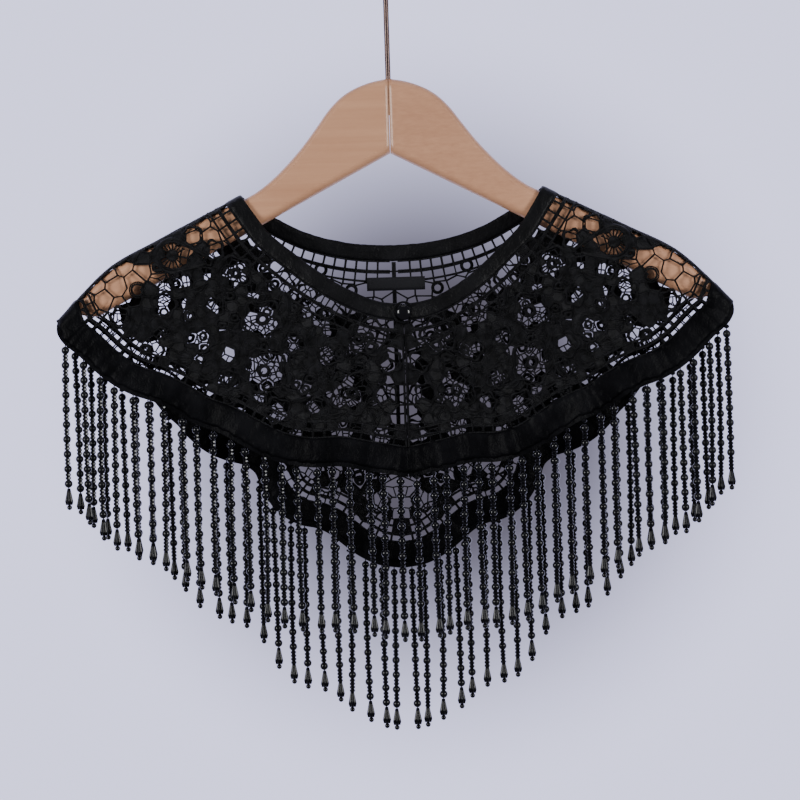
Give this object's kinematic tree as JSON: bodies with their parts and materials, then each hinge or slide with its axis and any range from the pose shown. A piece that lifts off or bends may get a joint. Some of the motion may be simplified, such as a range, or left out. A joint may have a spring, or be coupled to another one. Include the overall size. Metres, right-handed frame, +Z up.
{
  "type": "cloud collar on hanger",
  "caption": "Black guipure lace cape collar with ribbon-bound neck and hem, open front with a button and loop, bead-strand fringe below both hems, laid over a wooden hanger with a wire hook",
  "frame": {"origin": "inside top of the hook, where a rail holds it", "axes": "+Z up, the collar's front faces -Y, +X is to the right of someone who looks at the front"},
  "size_m": [0.4096, 0.0492, 0.4978],
  "materials": {
    "wire": "dark bronze, satin",
    "wood": "light wood, clear satin varnish",
    "lace": "matte black guipure embroidery",
    "ribbon": "black satin ribbon",
    "beads": "glossy black",
    "label": "plain woven tape, bare"
  },
  "bodies": {
    "root": {"hanger_hook": "wire", "hanger_left": "wood", "hanger_right": "wood", "lace_back": "lace", "lace_front_left": "lace", "lace_front_right": "lace", "neck_binding_back": "ribbon", "neck_binding_front_left": "ribbon", "neck_binding_front_right": "ribbon", "hem_band_back": "ribbon", "hem_band_front_left": "ribbon", "hem_band_front_right": "ribbon", "fringe_back": "beads", "fringe_front_left": "beads", "fringe_front_right": "beads", "button": "beads", "button_loop": "ribbon", "neck_label": "label"}
  },
  "joints": []
}
